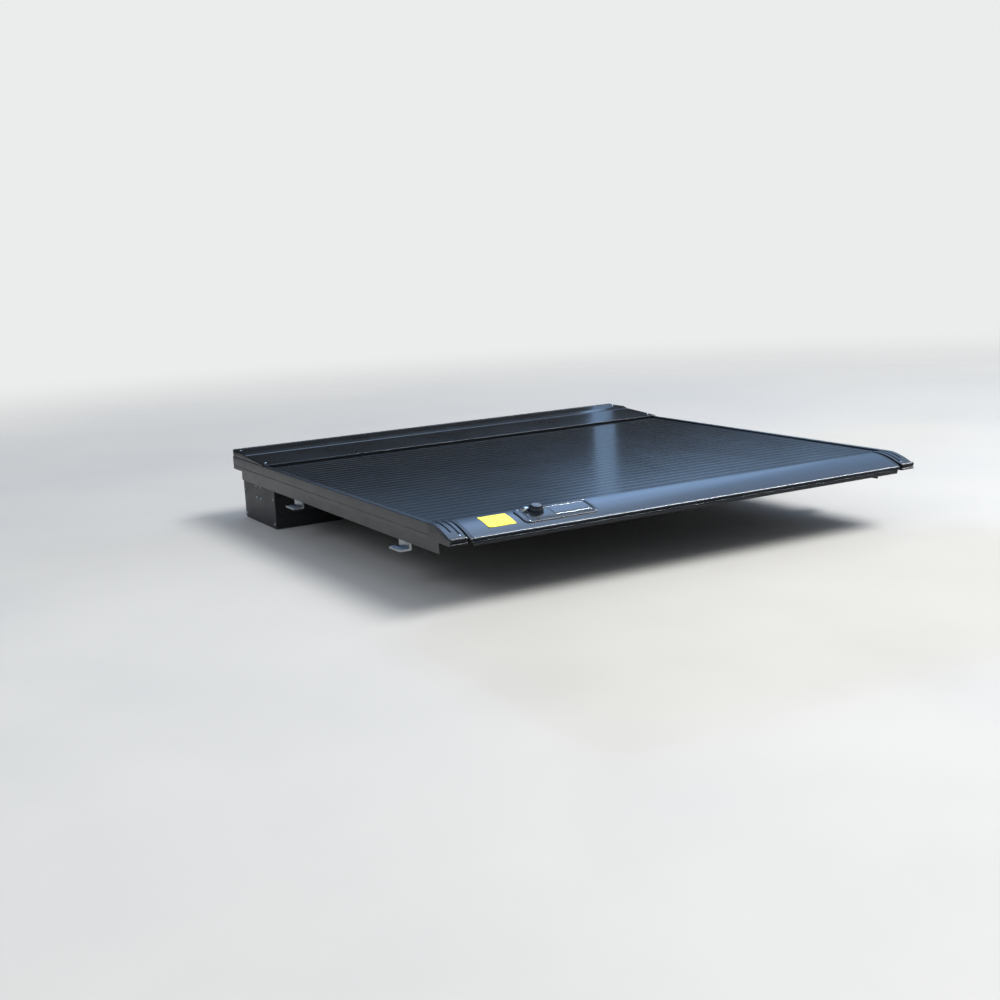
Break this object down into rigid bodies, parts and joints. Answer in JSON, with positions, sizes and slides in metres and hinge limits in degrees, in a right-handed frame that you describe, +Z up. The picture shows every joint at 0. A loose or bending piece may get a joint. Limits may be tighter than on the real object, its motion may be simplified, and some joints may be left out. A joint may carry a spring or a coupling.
{
  "type": "tonneau cover",
  "caption": "Lockable roll-up pickup bed cover: a slatted curtain slides in two side rails and rolls into a canister behind the cab.",
  "frame": {"origin": "mid-width, on the plane of the bed rails' tops, under the end bar's rear lip", "axes": "+X to the right across the bed, +Y forward to the cab, +Z up"},
  "size_m": [1.458, 1.5, 0.223],
  "materials": {
    "powder_coated_rail": "satin black powder coat over extruded aluminium",
    "anodised_slat": "satin black coated extruded aluminium with fine ribs",
    "anodised_bar": "satin black coated extruded aluminium",
    "moulded_nylon": "moulded black nylon",
    "moulded_lid": "satin black moulding",
    "moulded_lock_plate": "satin black moulding",
    "knob_plastic": "black moulded knob",
    "painted_sheet": "black painted folded sheet",
    "zinc_steel": "zinc plated steel",
    "spring_steel": "blued spring steel",
    "bare_aluminium": "mill finish tube",
    "chrome": "chromed lock barrel",
    "rubber_seal": "black extruded rubber",
    "brush_pile": "black nylon pile",
    "webbing": "black woven webbing",
    "label_film": "plain dark film in a bright frame line",
    "yellow_sticker": "plain yellow sticker, blank"
  },
  "bodies": {
    "frame": {"left_rail": "powder_coated_rail", "right_rail": "powder_coated_rail", "left_end_cap": "moulded_nylon", "right_end_cap": "moulded_nylon", "left_clamp_rear": "zinc_steel", "left_clamp_front": "zinc_steel", "right_clamp_rear": "zinc_steel", "right_clamp_front": "zinc_steel", "canister_shell": "painted_sheet", "canister_end_left": "painted_sheet", "canister_end_right": "painted_sheet", "canister_lid": "moulded_lid", "mouth_brush": "brush_pile", "left_bearing": "moulded_nylon", "right_bearing": "moulded_nylon", "spool_spring": "spring_steel", "curtain_leader": "webbing"},
    "bar": {"end_bar": "anodised_bar", "left_bar_guide": "moulded_nylon", "right_bar_guide": "moulded_nylon", "tailgate_seal": "rubber_seal", "lock_plate": "moulded_lock_plate", "label_panel": "label_film", "blank_sticker": "yellow_sticker"},
    "slat_01": {"slat_01": "anodised_slat"},
    "slat_02": {"slat_02": "anodised_slat"},
    "slat_03": {"slat_03": "anodised_slat"},
    "slat_04": {"slat_04": "anodised_slat"},
    "slat_05": {"slat_05": "anodised_slat"},
    "slat_06": {"slat_06": "anodised_slat"},
    "slat_07": {"slat_07": "anodised_slat"},
    "slat_08": {"slat_08": "anodised_slat"},
    "slat_09": {"slat_09": "anodised_slat"},
    "slat_10": {"slat_10": "anodised_slat"},
    "slat_11": {"slat_11": "anodised_slat"},
    "slat_12": {"slat_12": "anodised_slat"},
    "slat_13": {"slat_13": "anodised_slat"},
    "slat_14": {"slat_14": "anodised_slat"},
    "slat_15": {"slat_15": "anodised_slat"},
    "slat_16": {"slat_16": "anodised_slat"},
    "slat_17": {"slat_17": "anodised_slat"},
    "slat_18": {"slat_18": "anodised_slat"},
    "slat_19": {"slat_19": "anodised_slat"},
    "slat_20": {"slat_20": "anodised_slat"},
    "slat_21": {"slat_21": "anodised_slat"},
    "slat_22": {"slat_22": "anodised_slat"},
    "slat_23": {"slat_23": "anodised_slat"},
    "slat_24": {"slat_24": "anodised_slat"},
    "slat_25": {"slat_25": "anodised_slat"},
    "slat_26": {"slat_26": "anodised_slat"},
    "slat_27": {"slat_27": "anodised_slat"},
    "slat_28": {"slat_28": "anodised_slat"},
    "slat_29": {"slat_29": "anodised_slat"},
    "slat_30": {"slat_30": "anodised_slat"},
    "spool": {"spool_tube": "bare_aluminium"},
    "lock": {"lock_knob": "knob_plastic", "lock_pinion": "zinc_steel"},
    "key": {"key_barrel": "chrome"},
    "left_latch": {"left_latch_rod": "zinc_steel"},
    "right_latch": {"right_latch_rod": "zinc_steel"}
  },
  "joints": [
    {"name": "cover_slide", "type": "slide", "parent": "frame", "child": "bar", "axis": [0, 1, 0], "range_m": [0, 1.08]},
    {"name": "slat_01_slide", "type": "slide", "parent": "frame", "child": "slat_01", "axis": [0, 1, 0], "range_m": [0, 1.064], "deforming": ["slat_01"]},
    {"name": "slat_02_slide", "type": "slide", "parent": "frame", "child": "slat_02", "axis": [0, 1, 0], "range_m": [0, 1.028], "deforming": ["slat_02"]},
    {"name": "slat_03_slide", "type": "slide", "parent": "frame", "child": "slat_03", "axis": [0, 1, 0], "range_m": [0, 0.992], "deforming": ["slat_03"]},
    {"name": "slat_04_slide", "type": "slide", "parent": "frame", "child": "slat_04", "axis": [0, 1, 0], "range_m": [0, 0.956], "deforming": ["slat_04"]},
    {"name": "slat_05_slide", "type": "slide", "parent": "frame", "child": "slat_05", "axis": [0, 1, 0], "range_m": [0, 0.92], "deforming": ["slat_05"]},
    {"name": "slat_06_slide", "type": "slide", "parent": "frame", "child": "slat_06", "axis": [0, 1, 0], "range_m": [0, 0.884], "deforming": ["slat_06"]},
    {"name": "slat_07_slide", "type": "slide", "parent": "frame", "child": "slat_07", "axis": [0, 1, 0], "range_m": [0, 0.848], "deforming": ["slat_07"]},
    {"name": "slat_08_slide", "type": "slide", "parent": "frame", "child": "slat_08", "axis": [0, 1, 0], "range_m": [0, 0.812], "deforming": ["slat_08"]},
    {"name": "slat_09_slide", "type": "slide", "parent": "frame", "child": "slat_09", "axis": [0, 1, 0], "range_m": [0, 0.776], "deforming": ["slat_09"]},
    {"name": "slat_10_slide", "type": "slide", "parent": "frame", "child": "slat_10", "axis": [0, 1, 0], "range_m": [0, 0.74], "deforming": ["slat_10"]},
    {"name": "slat_11_slide", "type": "slide", "parent": "frame", "child": "slat_11", "axis": [0, 1, 0], "range_m": [0, 0.704], "deforming": ["slat_11"]},
    {"name": "slat_12_slide", "type": "slide", "parent": "frame", "child": "slat_12", "axis": [0, 1, 0], "range_m": [0, 0.668], "deforming": ["slat_12"]},
    {"name": "slat_13_slide", "type": "slide", "parent": "frame", "child": "slat_13", "axis": [0, 1, 0], "range_m": [0, 0.632], "deforming": ["slat_13"]},
    {"name": "slat_14_slide", "type": "slide", "parent": "frame", "child": "slat_14", "axis": [0, 1, 0], "range_m": [0, 0.596], "deforming": ["slat_14"]},
    {"name": "slat_15_slide", "type": "slide", "parent": "frame", "child": "slat_15", "axis": [0, 1, 0], "range_m": [0, 0.56], "deforming": ["slat_15"]},
    {"name": "slat_16_slide", "type": "slide", "parent": "frame", "child": "slat_16", "axis": [0, 1, 0], "range_m": [0, 0.524], "deforming": ["slat_16"]},
    {"name": "slat_17_slide", "type": "slide", "parent": "frame", "child": "slat_17", "axis": [0, 1, 0], "range_m": [0, 0.488], "deforming": ["slat_17"]},
    {"name": "slat_18_slide", "type": "slide", "parent": "frame", "child": "slat_18", "axis": [0, 1, 0], "range_m": [0, 0.452], "deforming": ["slat_18"]},
    {"name": "slat_19_slide", "type": "slide", "parent": "frame", "child": "slat_19", "axis": [0, 1, 0], "range_m": [0, 0.416], "deforming": ["slat_19"]},
    {"name": "slat_20_slide", "type": "slide", "parent": "frame", "child": "slat_20", "axis": [0, 1, 0], "range_m": [0, 0.38], "deforming": ["slat_20"]},
    {"name": "slat_21_slide", "type": "slide", "parent": "frame", "child": "slat_21", "axis": [0, 1, 0], "range_m": [0, 0.344], "deforming": ["slat_21"]},
    {"name": "slat_22_slide", "type": "slide", "parent": "frame", "child": "slat_22", "axis": [0, 1, 0], "range_m": [0, 0.308], "deforming": ["slat_22"]},
    {"name": "slat_23_slide", "type": "slide", "parent": "frame", "child": "slat_23", "axis": [0, 1, 0], "range_m": [0, 0.272], "deforming": ["slat_23"]},
    {"name": "slat_24_slide", "type": "slide", "parent": "frame", "child": "slat_24", "axis": [0, 1, 0], "range_m": [0, 0.236], "deforming": ["slat_24"]},
    {"name": "slat_25_slide", "type": "slide", "parent": "frame", "child": "slat_25", "axis": [0, 1, 0], "range_m": [0, 0.2], "deforming": ["slat_25"]},
    {"name": "slat_26_slide", "type": "slide", "parent": "frame", "child": "slat_26", "axis": [0, 1, 0], "range_m": [0, 0.164], "deforming": ["slat_26"]},
    {"name": "slat_27_slide", "type": "slide", "parent": "frame", "child": "slat_27", "axis": [0, 1, 0], "range_m": [0, 0.128], "deforming": ["slat_27"]},
    {"name": "slat_28_slide", "type": "slide", "parent": "frame", "child": "slat_28", "axis": [0, 1, 0], "range_m": [0, 0.092], "deforming": ["slat_28"]},
    {"name": "slat_29_slide", "type": "slide", "parent": "frame", "child": "slat_29", "axis": [0, 1, 0], "range_m": [0, 0.056], "deforming": ["slat_29"]},
    {"name": "slat_30_slide", "type": "slide", "parent": "frame", "child": "slat_30", "axis": [0, 1, 0], "range_m": [0, 0.02], "deforming": ["slat_30"]},
    {"name": "spool_spin", "type": "hinge", "parent": "frame", "child": "spool", "pos_m": [0, 1.3625, -0.062], "axis": [-1, 0, 0], "range_deg": [0, 1195], "deforming": ["curtain_leader", "spool_spring"]},
    {"name": "lock_turn", "type": "hinge", "parent": "bar", "child": "lock", "pos_m": [-0.461, 0.066, 0.03577], "axis": [0, 0.2102, -0.9777], "range_deg": [0, 90.1]},
    {"name": "left_latch_slide", "type": "slide", "parent": "bar", "child": "left_latch", "axis": [-1, 0, 0], "range_m": [0, 0.012]},
    {"name": "right_latch_slide", "type": "slide", "parent": "bar", "child": "right_latch", "axis": [1, 0, 0], "range_m": [0, 0.012]},
    {"name": "key_turn", "type": "hinge", "parent": "bar", "child": "key", "pos_m": [-0.4858, 0.07265, 0.0372], "axis": [0, 0.2102, -0.9777], "range_deg": [0, 90]}
  ],
  "couplings": [
    {"joint": "slat_01_slide", "follows": "cover_slide", "ratio": 0.98333},
    {"joint": "slat_02_slide", "follows": "cover_slide", "ratio": 0.95},
    {"joint": "slat_03_slide", "follows": "cover_slide", "ratio": 0.91667},
    {"joint": "slat_04_slide", "follows": "cover_slide", "ratio": 0.88333},
    {"joint": "slat_05_slide", "follows": "cover_slide", "ratio": 0.85},
    {"joint": "slat_06_slide", "follows": "cover_slide", "ratio": 0.81667},
    {"joint": "slat_07_slide", "follows": "cover_slide", "ratio": 0.78333},
    {"joint": "slat_08_slide", "follows": "cover_slide", "ratio": 0.75},
    {"joint": "slat_09_slide", "follows": "cover_slide", "ratio": 0.71667},
    {"joint": "slat_10_slide", "follows": "cover_slide", "ratio": 0.68333},
    {"joint": "slat_11_slide", "follows": "cover_slide", "ratio": 0.65},
    {"joint": "slat_12_slide", "follows": "cover_slide", "ratio": 0.61667},
    {"joint": "slat_13_slide", "follows": "cover_slide", "ratio": 0.58333},
    {"joint": "slat_14_slide", "follows": "cover_slide", "ratio": 0.55},
    {"joint": "slat_15_slide", "follows": "cover_slide", "ratio": 0.51667},
    {"joint": "slat_16_slide", "follows": "cover_slide", "ratio": 0.48333},
    {"joint": "slat_17_slide", "follows": "cover_slide", "ratio": 0.45},
    {"joint": "slat_18_slide", "follows": "cover_slide", "ratio": 0.41667},
    {"joint": "slat_19_slide", "follows": "cover_slide", "ratio": 0.38333},
    {"joint": "slat_20_slide", "follows": "cover_slide", "ratio": 0.35},
    {"joint": "slat_21_slide", "follows": "cover_slide", "ratio": 0.31667},
    {"joint": "slat_22_slide", "follows": "cover_slide", "ratio": 0.28333},
    {"joint": "slat_23_slide", "follows": "cover_slide", "ratio": 0.25},
    {"joint": "slat_24_slide", "follows": "cover_slide", "ratio": 0.21667},
    {"joint": "slat_25_slide", "follows": "cover_slide", "ratio": 0.18333},
    {"joint": "slat_26_slide", "follows": "cover_slide", "ratio": 0.15},
    {"joint": "slat_27_slide", "follows": "cover_slide", "ratio": 0.11667},
    {"joint": "slat_28_slide", "follows": "cover_slide", "ratio": 0.083333},
    {"joint": "slat_29_slide", "follows": "cover_slide", "ratio": 0.05},
    {"joint": "slat_30_slide", "follows": "cover_slide", "ratio": 0.016667},
    {"joint": "spool_spin", "follows": "cover_slide", "rad_per_m": 19.2},
    {"joint": "left_latch_slide", "follows": "right_latch_slide", "ratio": 1},
    {"joint": "lock_turn", "follows": "right_latch_slide", "rad_per_m": 130.9}
  ]
}
